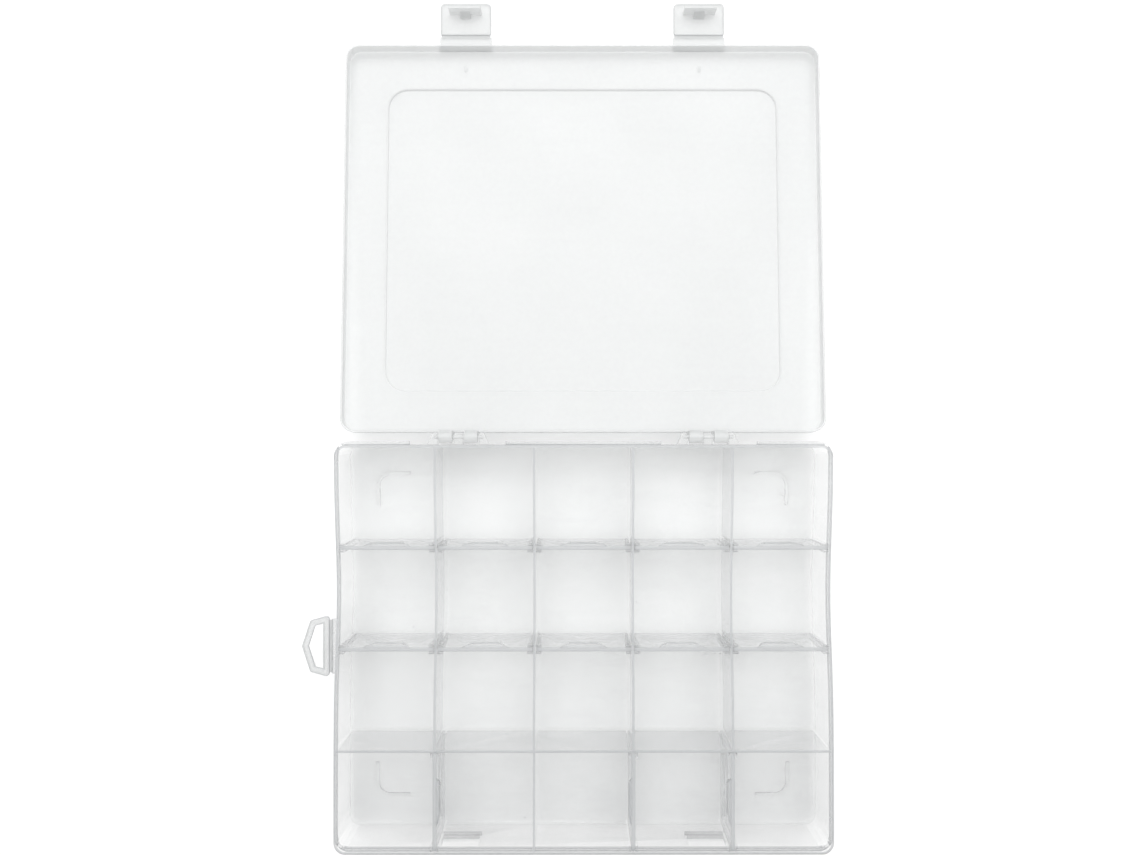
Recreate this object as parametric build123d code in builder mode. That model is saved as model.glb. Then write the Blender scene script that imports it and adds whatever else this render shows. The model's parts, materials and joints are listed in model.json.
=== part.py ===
"""Hinged plastic sorting tray: twenty compartments, lid, two latches and a hang loop.

Millimetres.  The origin is the centre of the underside of the tray's floor, +Z is up,
+Y is the hinged rear side and the two latches close over the front side, at -Y.
The lid is drawn shut, on the tray, and is then turned open about its hinge.
"""
import os

from build123d import *

# Compartments, measured between the middles of their walls
columns = 5
rows = 4
column_pitch = 47.0
row_pitch = 48.0
depth = 37.0

# Tray shell
wall = 1.2
floor = 1.3
corner_radius = 5.6
floor_fillet = 1.5
base_fillet = 2.0

# Ledge around the outside of the tray, which the lid comes down on
ledge = 1.8
ledge_thick = 1.5
ledge_drop = 8.0
ledge_cut_margin = 8.0

# Feet: four quarter rings under the floor, around the panel of a box stacked below
foot_height = 0.9
foot_width = 1.8
foot_radius = 7.3
foot_leg = 17.4
foot_gap_side = 4.1
foot_gap_end = 3.0

# Removable dividers, thicker at the top, and the guide ribs that hold them
divider_top = 1.9
divider_bottom = 1.15
divider_play = 0.15
divider_end_gap = 0.3
divider_floor_gap = 0.3
divider_below_rim = 0.6
divider_corner = 2.2
guide_flank = 1.0
guide_reach_top = 2.8
guide_reach_bottom = 1.4
guide_below_rim = 0.4
grip_width_top = 22.0
grip_width_bottom = 16.0
grip_height = 9.0
grip_proud = 1.0
grip_slant = 1.8

# Lid
lid_clearance = 0.35
lid_seat_gap = 0.3
plate = 1.2
skirt = 0.95
skirt_depth = 6.4
lid_edge_fillet = 0.8
panel_margin = 19.9
panel_radius = 11.0
panel_rise = 1.0
panel_side = 1.1
open_angle = 183.8

# Lid hinge: knuckles and pin on the lid, brackets on the tray
hinge_x = 60.5
hinge_below_rim = 12.0
hinge_behind_wall = 3.95
pin_radius = 0.95
pin_play = 0.07
pin_overlap = 1.7
pin_end_gap = 0.3
knuckle_width = 6.6
knuckle_radius = 3.1
knuckle_gap = 0.6
knuckle_arm = 4.5
bracket_radius = 2.5
bracket_middle = 4.4
bracket_tip = 2.3
bracket_base = 5.1
bracket_gusset = 4.0
snap_mouth = 1.5

# Latches
neck_width = 26.3
neck_length = 6.6
latch_width = 25.8
latch_length = 16.3
latch_thick = 1.3
latch_tip_radius = 2.4
latch_root_radius = 1.3
hook_width = 16.4
hook_thick = 1.2
hook_gap = 0.3
hook_entry = 0.3
hook_gusset_width = 5.4
hook_gusset_length = 2.0
hook_gusset_height = 4.4
pocket_depth = 2.4
pocket_height = 9.0
pocket_wall = 1.0
pocket_side_gap = 0.7

# Hang loop on the left side
loop_length = 29.6
loop_reach = 13.2
loop_shoulder_reach = 9.2
loop_shoulder_length = 24.6
loop_band = 3.0
loop_thick = 1.5
loop_corner = 1.6
strip_length = 26.0
strip_out = 2.6

# Film hinges: a web that ends in a bead on the line about which the flap folds
film_web = 0.8
film_thick = 0.5
film_bead = 0.35
film_gap = 0.1
film_end = 0.4

# Sizes and places that follow from the values above
rim = floor + depth
width = columns * column_pitch + wall
length = rows * row_pitch + wall
column_lines = [(i - columns / 2) * column_pitch for i in range(columns + 1)]
row_lines = [(i - rows / 2) * row_pitch for i in range(rows + 1)]
fixed_row = row_lines[1]
divided_rows = row_lines[2:-1]
fixed_front_column = column_lines[2]
front_slots = [x for x in column_lines[1:-1] if x != fixed_front_column]

ledge_top = rim - ledge_drop
ledge_bottom = ledge_top - ledge_thick
slot_top = divider_top / 2 + divider_play
slot_bottom = divider_bottom / 2 + divider_play

lid_width = width + 2 * (lid_clearance + skirt)
lid_length = length + 2 * (lid_clearance + skirt)
lid_radius = corner_radius + lid_clearance + skirt
plate_under = rim + lid_seat_gap
skirt_bottom = plate_under - skirt_depth
lid_top = plate_under + plate
panel_width = lid_width - 2 * panel_margin
panel_length = lid_length - 2 * panel_margin

hinge_y = length / 2 + hinge_behind_wall
hinge_z = rim - hinge_below_rim
hinge_axis = Axis((0, hinge_y, hinge_z), (1, 0, 0))
knuckle_x = bracket_middle / 2 + knuckle_gap + knuckle_width / 2
bracket_inside = bracket_middle / 2 + 2 * knuckle_gap + knuckle_width
ledge_cut = 2 * (bracket_inside + bracket_base + ledge_cut_margin)

film_y = -(lid_length / 2 + neck_length + film_web)
film_z = lid_top - plate / 2
film_axis = Axis((0, film_y, film_z), (1, 0, 0))
film_reach = film_bead + film_gap
pocket_half = hook_width / 2 + pocket_side_gap
latch_x = column_lines[-2] - slot_top - pocket_wall - pocket_half
hook_from_film = film_z - ledge_bottom + hook_gap
hook_reach = -film_y - latch_thick / 2 - length / 2 + hook_entry

loop_film_x = -(width / 2 + strip_out + film_web)
loop_z = ledge_bottom + ledge_thick / 2


def opened(piece):
    """The piece of a shut lid, turned about the lid's hinge to where it lies when open."""
    return piece.rotate(hinge_axis, -open_angle)


def finish(piece, name):
    """Name a finished piece and write it as a STEP file."""
    piece.label = name
    export_step(piece, f"parts/{name}.step")


def make_guide():
    """One pair of guide ribs, standing out along +X from the middle of a wall at x = 0."""
    foot = floor / 2
    head = rim - guide_below_rim
    with BuildPart() as guide:
        with BuildSketch(Plane.YZ):
            for side in (-1, 1):
                with BuildLine():
                    Polyline(
                        (side * slot_bottom, foot),
                        (side * (slot_bottom + guide_flank), foot),
                        (side * (slot_top + guide_flank), head),
                        (side * slot_top, head),
                        close=True,
                    )
                make_face()
        extrude(amount=wall / 2 + guide_reach_top)
        with BuildSketch(Plane.XZ):
            with BuildLine():
                Polyline(
                    (0, foot),
                    (wall / 2 + guide_reach_bottom, foot),
                    (wall / 2 + guide_reach_top, head),
                    (0, head),
                    close=True,
                )
            make_face()
        extrude(amount=slot_top + guide_flank, both=True, mode=Mode.INTERSECT)
    return guide.part


def make_brackets():
    """Three hinge brackets behind the rear wall, about x = 0, with the bore for the pin."""
    root_y = (length - wall) / 2
    tip_y = hinge_y + bracket_radius
    with BuildPart() as brackets:
        with BuildSketch():
            with Locations((0, (root_y + tip_y) / 2)):
                Rectangle(bracket_middle, tip_y - root_y)
            for side in (-1, 1):
                with BuildLine():
                    Polyline(
                        (side * bracket_inside, root_y),
                        (side * bracket_inside, tip_y),
                        (side * (bracket_inside + bracket_tip), tip_y),
                        (side * (bracket_inside + bracket_base), root_y),
                        close=True,
                    )
                make_face()
        extrude(amount=rim)
        with BuildSketch(Plane.YZ):
            with Locations((hinge_y, hinge_z)):
                Circle(bracket_radius)
            with BuildLine():
                Polyline(
                    (root_y, hinge_z + bracket_radius),
                    (hinge_y, hinge_z + bracket_radius),
                    (hinge_y, hinge_z - bracket_radius),
                    (root_y, hinge_z - bracket_radius - bracket_gusset),
                    close=True,
                )
            make_face()
        extrude(amount=bracket_inside + bracket_base, both=True, mode=Mode.INTERSECT)
        with BuildSketch(Plane.YZ):
            with Locations((hinge_y, hinge_z)):
                Circle(pin_radius + pin_play)
            with Locations((hinge_y, hinge_z - hinge_z / 2)):
                Rectangle(snap_mouth, hinge_z)
        extrude(amount=bracket_inside + pin_overlap + pin_end_gap, both=True, mode=Mode.SUBTRACT)
    return brackets.part


def make_tray(guide, brackets):
    """The open box with its fixed walls, guides, ledge, hook pockets, brackets and feet."""
    rear_middle = (fixed_row + row_lines[-1]) / 2
    front_middle = (fixed_row + row_lines[0]) / 2
    with BuildPart() as tray:
        with BuildSketch():
            RectangleRounded(width, length, corner_radius)
        extrude(amount=rim)
        fillet(tray.edges().group_by(Axis.Z)[0], base_fillet)

        # Seven hollows: five long columns behind the fixed row wall and two in front of it
        with BuildSketch(Plane.XY.offset(floor)):
            RectangleRounded(width - 2 * wall, length - 2 * wall, corner_radius - wall)
            with Locations([(x, rear_middle) for x in column_lines[1:-1]]):
                Rectangle(wall, row_lines[-1] - fixed_row, mode=Mode.SUBTRACT)
            with Locations((0, fixed_row)):
                Rectangle(width, wall, mode=Mode.SUBTRACT)
            with Locations((fixed_front_column, front_middle)):
                Rectangle(wall, row_pitch, mode=Mode.SUBTRACT)
        extrude(amount=depth, mode=Mode.SUBTRACT)
        fillet(tray.edges().filter_by_position(Axis.Z, floor - 0.01, floor + 0.01), floor_fillet)

        # Guide ribs for the row dividers, on both faces of each column wall
        with Locations([(x, y) for x in column_lines[:-1] for y in divided_rows]):
            add(guide)
        with Locations([(x, y) for x in column_lines[1:] for y in divided_rows]):
            add(guide, rotation=(0, 0, 180))
        # Guide ribs for the front dividers, on the front wall and on the fixed row wall
        with Locations([(x, row_lines[0]) for x in front_slots]):
            add(guide, rotation=(0, 0, 90))
        with Locations([(x, fixed_row) for x in front_slots]):
            add(guide, rotation=(0, 0, -90))

        # Pockets in the front wall, under the ledge, for the hooks of the latches
        bump_depth = pocket_depth + pocket_wall - wall / 2
        bump_height = pocket_height + 2 * pocket_wall
        for side in (-1, 1):
            pocket_z = ledge_bottom - pocket_height / 2
            with Locations((side * latch_x, (bump_depth - length + wall) / 2, pocket_z)):
                Box(2 * (pocket_half + pocket_wall), bump_depth, bump_height)
            with Locations((side * latch_x, (pocket_depth - length) / 2, pocket_z)):
                Box(2 * pocket_half, pocket_depth, pocket_height, mode=Mode.SUBTRACT)

        # Ledge, left out around the hinges, with the strip that carries the hang loop
        with BuildSketch(Plane.XY.offset(ledge_bottom)):
            RectangleRounded(width + 2 * ledge, length + 2 * ledge, corner_radius + ledge)
            with Locations((loop_film_x / 2 + film_web / 2, 0)):
                Rectangle(-loop_film_x - film_web, strip_length)
            RectangleRounded(width - wall, length - wall, corner_radius - wall / 2, mode=Mode.SUBTRACT)
            with Locations([(side * hinge_x, length / 2 + ledge) for side in (-1, 1)]):
                Rectangle(ledge_cut, 2 * ledge, mode=Mode.SUBTRACT)
        extrude(amount=ledge_thick)

        with Locations([(side * hinge_x, 0) for side in (-1, 1)]):
            add(brackets)

        # Feet
        foot_outer_width = panel_width + 2 * (foot_gap_side + foot_width)
        foot_outer_length = panel_length + 2 * (foot_gap_end + foot_width)
        with BuildSketch(Plane.XY.offset(-foot_height)):
            RectangleRounded(foot_outer_width, foot_outer_length, foot_radius)
            RectangleRounded(
                foot_outer_width - 2 * foot_width,
                foot_outer_length - 2 * foot_width,
                foot_radius - foot_width,
                mode=Mode.SUBTRACT,
            )
            Rectangle(foot_outer_width - 2 * foot_leg, foot_outer_length, mode=Mode.SUBTRACT)
            Rectangle(foot_outer_width, foot_outer_length - 2 * foot_leg, mode=Mode.SUBTRACT)
        extrude(amount=foot_height + floor / 2)
    return tray.part


def make_lid():
    """The lid as it lies shut: plate, skirt, stacking panel, latch necks and hinge knuckles."""
    rear_face = lid_length / 2
    with BuildPart() as lid:
        with BuildSketch(Plane.XY.offset(skirt_bottom)):
            RectangleRounded(lid_width, lid_length, lid_radius)
        extrude(amount=lid_top - skirt_bottom)
        fillet(lid.edges().group_by(Axis.Z)[-1], lid_edge_fillet)
        with BuildSketch(Plane.XY.offset(skirt_bottom)):
            RectangleRounded(lid_width - 2 * skirt, lid_length - 2 * skirt, lid_radius - skirt)
        extrude(amount=plate_under - skirt_bottom, mode=Mode.SUBTRACT)

        # The panel stands up outside and is hollow inside
        with BuildSketch(Plane.XY.offset(lid_top)):
            RectangleRounded(panel_width, panel_length, panel_radius)
        extrude(amount=panel_rise)
        with BuildSketch(Plane.XY.offset(plate_under)):
            RectangleRounded(
                panel_width - 2 * panel_side,
                panel_length - 2 * panel_side,
                panel_radius - panel_side,
            )
        extrude(amount=panel_rise, mode=Mode.SUBTRACT)

        # Necks that carry the latches
        neck_run = neck_length + skirt / 2
        neck_y = skirt / 2 - lid_length / 2 - neck_run / 2
        with Locations([(side * latch_x, neck_y, plate_under) for side in (-1, 1)]):
            Box(neck_width, neck_run, plate, align=(Align.CENTER, Align.CENTER, Align.MIN))

        # Knuckles, each a barrel with an arm up to the rear skirt
        arm_inside = hinge_y - knuckle_radius
        arm_top = skirt_bottom + knuckle_arm
        for side in (-1, 1):
            for half in (-1, 1):
                with BuildSketch(Plane.YZ.offset(side * hinge_x + half * knuckle_x)):
                    with Locations((hinge_y, hinge_z)):
                        Circle(knuckle_radius)
                    with BuildLine():
                        Polyline(
                            (arm_inside, hinge_z),
                            (hinge_y + knuckle_radius, hinge_z),
                            (rear_face, arm_top),
                            (arm_inside, arm_top),
                            close=True,
                        )
                    make_face()
                extrude(amount=knuckle_width / 2, both=True)
            with BuildSketch(Plane.YZ.offset(side * hinge_x)):
                with Locations((hinge_y, hinge_z)):
                    Circle(pin_radius)
            extrude(amount=bracket_inside + pin_overlap, both=True)
    return lid.part


def make_latch(side):
    """A latch flap with its hook bar, level with the shut lid's plate, tilted to rest flat."""
    root_y = film_y - film_reach
    hook_y = film_y - hook_from_film
    inner_face = film_z - latch_thick / 2
    with BuildPart() as latch:
        with BuildSketch(Plane.XY.offset(inner_face)) as flap:
            with Locations((side * latch_x, root_y - latch_length / 2)):
                Rectangle(latch_width, latch_length)
            fillet(flap.vertices().group_by(Axis.Y)[0], latch_tip_radius)
            fillet(flap.vertices().group_by(Axis.Y)[-1], latch_root_radius)
        extrude(amount=latch_thick)
        chamfer(latch.edges().filter_by(Axis.X).group_by(Axis.Y)[-1], latch_thick / 4)
        fillet(latch.faces().sort_by(Axis.Z)[-1].edges().sort_by(Axis.Y)[0], latch_thick / 4)
        with Locations((side * latch_x, hook_y - hook_thick / 2, inner_face)):
            Box(hook_width, hook_thick, hook_reach, align=(Align.CENTER, Align.CENTER, Align.MAX))
        with BuildSketch(Plane.YZ.offset(side * latch_x)):
            with BuildLine():
                Polyline(
                    (hook_y, inner_face),
                    (hook_y + hook_gusset_length, inner_face),
                    (hook_y, inner_face - hook_gusset_height),
                    close=True,
                )
            make_face()
        extrude(amount=hook_gusset_width / 2, both=True)
    return latch.part.rotate(film_axis, open_angle - 180)


def make_latch_film(side):
    """The thin web between a neck and its flap."""
    with BuildPart() as film:
        with BuildSketch(Plane.YZ.offset(side * latch_x)):
            with Locations((film_y + film_web / 2, film_z)):
                Rectangle(film_web, film_thick)
            with Locations((film_y, film_z)):
                Circle(film_bead)
        extrude(amount=latch_width / 2 - film_end, both=True)
    return film.part


def make_hang_loop():
    """The flat loop, in line with the ledge, with a hole that keeps an even band around it."""
    root_x = loop_film_x - film_reach
    with BuildPart() as loop:
        with BuildSketch(Plane.XY.offset(loop_z - loop_thick / 2)) as outline:
            with BuildLine():
                Polyline(
                    (root_x, loop_length / 2),
                    (root_x - loop_shoulder_reach, loop_shoulder_length / 2),
                    (root_x - loop_reach, 0),
                    (root_x - loop_shoulder_reach, -loop_shoulder_length / 2),
                    (root_x, -loop_length / 2),
                    close=True,
                )
            make_face()
            fillet(outline.vertices(), loop_corner)
            offset(amount=-loop_band, kind=Kind.INTERSECTION, mode=Mode.SUBTRACT)
        extrude(amount=loop_thick)
    return loop.part


def make_hang_loop_film():
    """The thin web between the strip on the ledge and the hang loop."""
    with BuildPart() as film:
        with BuildSketch(Plane.XZ):
            with Locations((loop_film_x + film_web / 2, loop_z)):
                Rectangle(film_web, film_thick)
            with Locations((loop_film_x, loop_z)):
                Circle(film_bead)
        extrude(amount=strip_length / 2 - film_end, both=True)
    return film.part


def make_grip():
    """The grip pad: a block with slanted ends, at the top of a divider's +Y face."""
    high = rim - divider_below_rim
    face = divider_top / 2
    with BuildPart() as grip:
        with BuildSketch(Plane.XY.offset(high)):
            with BuildLine():
                Polyline(
                    (-grip_width_top / 2, 0),
                    (-grip_width_top / 2, face),
                    (-grip_width_top / 2 + grip_slant, face + grip_proud),
                    (grip_width_top / 2 - grip_slant, face + grip_proud),
                    (grip_width_top / 2, face),
                    (grip_width_top / 2, 0),
                    close=True,
                )
            make_face()
        extrude(amount=-grip_height)
        with BuildSketch(Plane.XZ):
            with BuildLine():
                Polyline(
                    (-grip_width_top / 2, high),
                    (-grip_width_bottom / 2, high - grip_height),
                    (grip_width_bottom / 2, high - grip_height),
                    (grip_width_top / 2, high),
                    close=True,
                )
            make_face()
        extrude(amount=-(face + grip_proud), mode=Mode.INTERSECT)
    return grip.part


def make_divider(span, grip):
    """A divider along X, its middle over the origin, with its grip pad on the +Y face."""
    low = floor + divider_floor_gap
    high = rim - divider_below_rim
    plate_width = span - wall - 2 * divider_end_gap
    with BuildPart() as divider:
        with BuildSketch(Plane.YZ):
            with BuildLine():
                Polyline(
                    (-divider_bottom / 2, low),
                    (divider_bottom / 2, low),
                    (divider_top / 2, high),
                    (-divider_top / 2, high),
                    close=True,
                )
            make_face()
        extrude(amount=plate_width / 2, both=True)
        chamfer(divider.edges().filter_by(Axis.Y).group_by(Axis.Z)[0], divider_corner)
        add(grip)
    return divider.part


os.makedirs("parts", exist_ok=True)

finish(make_tray(make_guide(), make_brackets()), "tray")
finish(opened(make_lid()), "lid")
finish(make_hang_loop(), "hang_loop")
finish(make_hang_loop_film(), "hang_loop_film")
for side, name in ((-1, "left"), (1, "right")):
    finish(opened(make_latch(side)), f"latch_{name}")
    finish(opened(make_latch_film(side)), f"latch_{name}_film")

# Five dividers in each of the two divided rows, numbered from the left
grip = make_grip()
row_divider = make_divider(column_pitch, grip)
for name, y in (("rear", divided_rows[-1]), ("middle", divided_rows[0])):
    for number in range(1, columns + 1):
        x = (column_lines[number - 1] + column_lines[number]) / 2
        finish(row_divider.moved(Location((x, y, 0))), f"divider_{name}_{number}")

# Three dividers in the front row, each with its grip pad towards the middle of the tray
front_divider = make_divider(row_pitch, grip)
for number, x in enumerate(front_slots, start=1):
    turn = -90 if x < 0 else 90
    y = (row_lines[0] + fixed_row) / 2
    finish(front_divider.moved(Location((x, y, 0), (0, 0, turn))), f"divider_front_{number}")
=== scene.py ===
"""Looks of a hinged sorting tray in milky plastic, worked out around its packed frame."""
import json
import math

import bmesh
import bpy
import numpy as np
from bpy.props import FloatProperty, FloatVectorProperty, PointerProperty
from mathutils import Matrix, Vector


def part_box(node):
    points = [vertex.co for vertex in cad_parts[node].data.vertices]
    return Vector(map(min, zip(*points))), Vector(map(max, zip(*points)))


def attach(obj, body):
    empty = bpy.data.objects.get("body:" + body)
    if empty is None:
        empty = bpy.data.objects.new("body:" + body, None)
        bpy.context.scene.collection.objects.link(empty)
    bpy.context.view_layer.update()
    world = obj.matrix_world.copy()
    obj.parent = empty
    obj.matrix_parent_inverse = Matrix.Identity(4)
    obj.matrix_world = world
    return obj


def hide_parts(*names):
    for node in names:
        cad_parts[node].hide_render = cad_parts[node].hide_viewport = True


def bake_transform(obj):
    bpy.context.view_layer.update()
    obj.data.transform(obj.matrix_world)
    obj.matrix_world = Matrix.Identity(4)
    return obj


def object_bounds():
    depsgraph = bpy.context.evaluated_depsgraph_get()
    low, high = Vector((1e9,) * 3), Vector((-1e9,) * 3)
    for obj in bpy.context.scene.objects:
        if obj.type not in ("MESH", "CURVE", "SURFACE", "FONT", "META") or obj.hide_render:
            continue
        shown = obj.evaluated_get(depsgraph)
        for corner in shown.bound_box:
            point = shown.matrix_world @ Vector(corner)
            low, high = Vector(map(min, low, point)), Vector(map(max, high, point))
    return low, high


bl_info = {
    "name": "Sorting Tray",
    "version": (1, 0, 0),
    "blender": (4, 5, 0),
    "location": "3D View > Sidebar > Sorting Tray",
    "description": "Builds the pieces, plastics and studio of a hinged sorting tray",
    "category": "Object",
}

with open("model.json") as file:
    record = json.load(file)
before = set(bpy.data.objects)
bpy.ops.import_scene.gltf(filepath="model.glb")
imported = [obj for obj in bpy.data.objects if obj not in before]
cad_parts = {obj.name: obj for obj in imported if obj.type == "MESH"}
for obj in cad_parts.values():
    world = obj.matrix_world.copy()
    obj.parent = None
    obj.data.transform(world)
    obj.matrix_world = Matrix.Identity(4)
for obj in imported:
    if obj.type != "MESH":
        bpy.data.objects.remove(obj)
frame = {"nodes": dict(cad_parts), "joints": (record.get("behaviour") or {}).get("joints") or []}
CAD_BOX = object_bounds()
MM = 0.001
JOINTS = {joint["name"]: joint for joint in frame["joints"]}
HINGE = Vector(JOINTS["lid_hinge"]["pos_m"])
OPENED = math.radians(JOINTS["lid_hinge"]["range_deg"][0])
TO_X_AXIS = [2, 0, 1]       # order of axes that lays a shell stacked along z along x
FILM_LAP = 0.25 * MM        # how far a folding film runs into the parts on either side of it

# Repeats of each pattern in the plastic to a metre.
CLOUDS, MOTTLE, GRAIN, SPECKS, FLOW_MARKS = 22, 420, 1500, 70, 12


def length(name, size, text):
    """A size property in metres, given in millimetres."""
    return FloatProperty(name=name, description=text, default=size * MM, unit="LENGTH", min=0, precision=5)


def share(name, value, text):
    """A property between nothing and all."""
    return FloatProperty(name=name, description=text, default=value, min=0, max=1, subtype="FACTOR")


def tint(name, value, text):
    """A colour property."""
    return FloatVectorProperty(
        name=name, description=text, default=value, min=0, max=1, size=3, subtype="COLOR")


class SortingTrayLid(bpy.types.PropertyGroup):
    """Sizes of the lid as it lies shut, with its origin under the middle of the tray."""
    width: length("Width", 238.8, "Across the outside of the skirt")
    depth: length("Depth", 195.8, "Front to rear, outside the skirt")
    corner: length("Corner", 6.9, "Radius of the four corners")
    top: length("Top", 39.8, "Height of the plate's outer face")
    plate: length("Plate", 1.2, "Thickness of the plate")
    skirt: length("Skirt", 0.95, "Thickness of the skirt")
    drop: length("Skirt Drop", 6.4, "Height of the skirt below the plate")
    ease: length("Edge", 0.8, "Rounding of the outer edge")
    panel_margin: length("Panel Margin", 19.9, "From the skirt to the stacking panel")
    panel_corner: length("Panel Corner", 11.0, "Radius of the panel's corners")
    panel_rise: length("Panel Rise", 1.0, "Height of the panel above the plate")
    panel_side: length("Panel Side", 1.1, "Thickness of the panel's side")
    gate_in: length("Gate Mark", 9.9, "From the front of the skirt to the marks left by the moulding gates")
    hinge_x: length("Hinge Middle", 60.5, "From the middle of the lid to each hinge")
    knuckle_x: length("Knuckle Middle", 6.1, "From the middle of a hinge to its knuckles")
    knuckle_width: length("Knuckle Width", 6.6, "Width of a knuckle")
    knuckle_radius: length("Knuckle Radius", 3.1, "Radius of a knuckle's barrel")
    knuckle_arm: length("Knuckle Arm", 4.5, "How far the arm reaches up the skirt")
    pin_radius: length("Pin Radius", 0.95, "Radius of the hinge pin")
    pin_half: length("Half Pin", 11.7, "Half the length of a hinge pin")


class SortingTrayLatch(bpy.types.PropertyGroup):
    """Sizes of a latch, drawn level with the shut lid's plate."""
    middle: length("Middle", 59.5, "From the middle of the lid to each latch")
    neck_width: length("Neck Width", 26.3, "Width of the neck")
    neck_length: length("Neck Length", 6.6, "Length of the neck, out from the skirt")
    film_web: length("Film Web", 0.8, "From the neck to the fold")
    film_reach: length("Film Reach", 0.45, "From the fold to the flap")
    film_thick: length("Film", 0.34, "Thickness of the film at the fold")
    film_width: length("Film Width", 25.0, "Width of the film")
    width: length("Width", 25.8, "Width of the flap")
    reach: length("Reach", 16.3, "Length of the flap")
    thick: length("Thickness", 1.3, "Thickness of the flap")
    tip: length("Tip Corner", 2.4, "Radius of the corners at the tip")
    root: length("Root Corner", 1.3, "Radius of the corners at the fold")
    hook_gap: length("Hook Place", 10.7, "From the fold to the hook bar")
    hook_width: length("Hook Width", 16.4, "Width of the hook bar")
    hook_thick: length("Hook Thickness", 1.2, "Thickness of the hook bar")
    hook_reach: length("Hook Reach", 8.35, "Height of the hook bar")
    gusset_width: length("Gusset Width", 5.4, "Width of the gusset behind the hook")
    gusset_reach: length("Gusset Reach", 2.0, "Foot of the gusset")
    gusset_height: length("Gusset Height", 4.4, "Height of the gusset")


class SortingTrayLoop(bpy.types.PropertyGroup):
    """Sizes of the hang loop."""
    span: length("Length", 29.6, "Length along the tray's side")
    reach: length("Reach", 13.2, "Distance it stands out from its root")
    shoulder_reach: length("Shoulder Reach", 9.2, "Distance from the root to its shoulders")
    shoulder_span: length("Shoulder Length", 24.6, "Distance between its shoulders")
    band: length("Band", 3.0, "Width of the band round the hole")
    thick: length("Thickness", 1.5, "Thickness of the band")
    corner: length("Corner", 1.6, "Radius of the corners")
    root_gap: length("Root Gap", 0.45, "From the fold to the root")
    film_web: length("Film Web", 0.8, "From the strip to the fold")
    film_width: length("Film Length", 25.2, "Length of the film")
    film_thick: length("Film", 0.34, "Thickness of the film at the fold")


class SortingTrayDivider(bpy.types.PropertyGroup):
    """Sizes of a removable divider."""
    top: length("Top", 1.9, "Thickness at the top")
    bottom: length("Bottom", 1.15, "Thickness at the bottom")
    corner: length("Corner", 2.2, "Cut at the two lower corners")
    grip_top: length("Grip Top", 22.0, "Width of the grip pad at the top")
    grip_bottom: length("Grip Bottom", 16.0, "Width of the grip pad at its foot")
    grip_height: length("Grip Height", 9.0, "Height of the grip pad")
    grip_proud: length("Grip Proud", 1.0, "How far the grip pad stands out")
    grip_slant: length("Grip Slant", 1.8, "Run of the grip pad's slanted sides")


class SortingTrayWarp(bpy.types.PropertyGroup):
    """Where the features of the packed shell lie, and how its sides are drawn in as it shrinks."""
    pull: length("Pull", 1.6, "How far each side is drawn in")
    place: length("Place", 26.0, "Where along the sides it is drawn in most")
    run: length("Run", 38.0, "Half the length over which it is drawn in")
    wall_x: length("Half Wall Width", 118.1, "From the middle to the outside of the side walls")
    wall_y: length("Half Wall Length", 96.6, "From the middle to the outside of the front and rear walls")
    column: length("Column", 47.0, "Distance between the column walls")
    row: length("Row", 48.0, "Distance between the rows of dividers")
    latch_x: length("Pocket Middle", 59.5, "From the middle to each hook pocket")
    hinge_x: length("Bracket Middle", 60.5, "From the middle to each set of hinge brackets")
    root: length("Ledge Root", 0.5, "Width of the dense line where the ledge meets the wall")
    half: length("Half Width", 119.9, "From the middle to the outside of the ledge")
    strip_end: length("Strip End", 120.6, "Where the hang loop's strip is no longer drawn in")
    slice: length("Slices", 6.0, "Distance between the cuts across the shell")


class SortingTrayLook(bpy.types.PropertyGroup):
    """Colours of the plastic and the studio, some of them painted shade."""
    haze: share("Haze", 0.10, "How much one face of the tray or a divider hides")
    glance: share("Glancing Haze", 0.14, "What is added where a face is seen at a slant")
    floor_haze: share("Floor Haze", 0.16, "What the tray's floor hides beyond that")
    lid_haze: share("Lid Haze", 0.42, "How much one face of the lid or the hang loop hides")
    latch_haze: share("Latch Haze", 0.38, "How much one face of a latch hides")
    lid_glance: share("Lid Glancing Haze", 0.02, "What is added where a face of the lid is seen at a slant")
    # Painted shade: the share by which the tray and dividers are darkened towards the front, standing in for
    # the light falling off there.
    painted_front_shade: share("Painted Front Shade", 0.30, "How far the tray darkens towards its front")
    edge_haze: share("Edge Haze", 0.55, "What is added at an edge")
    plastic: tint("Plastic", (0.80, 0.81, 0.81), "Milky plastic of the tray and dividers, on broad faces")
    # Painted shade: the lid, latches and hang loop are one milky plastic, given darker colours piece by piece
    # so that each matches its grey level.
    lid_plastic: tint("Lid Plastic", (0.74, 0.75, 0.75), "Milky plastic of the lid")
    latch_plastic_painted_shade: tint("Latch Plastic", (0.715, 0.725, 0.725), "Milky plastic of the latches")
    loop_plastic_painted_shade: tint("Loop Plastic", (0.61, 0.62, 0.62), "Milky plastic of the hang loop")
    edge: tint("Edge", (0.42, 0.43, 0.44), "Plastic where one looks along it, at its edges")
    floor: tint("Floor", (0.93, 0.93, 0.93), "Studio floor")


# ---------------------------------------------------------------- shapes

def rectangle(half_x, half_y):
    """The four corners of centred rectangles, anticlockwise from (+, +); one per entry."""
    half = np.stack(np.broadcast_arrays(half_x, half_y), -1).astype(float)
    return half[..., None, :] * np.array([(1, 1), (-1, 1), (-1, -1), (1, -1)])


def edges_of(corners):
    """Unit directions into and out of each corner of a closed polygon, and the left normals."""
    out = np.roll(corners, -1, -2) - corners
    out /= np.linalg.norm(out, axis=-1, keepdims=True)
    into = np.roll(out, 1, -2)
    left = np.array([[0, 1], [-1, 0]])
    return into, out, into @ left, out @ left


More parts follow.
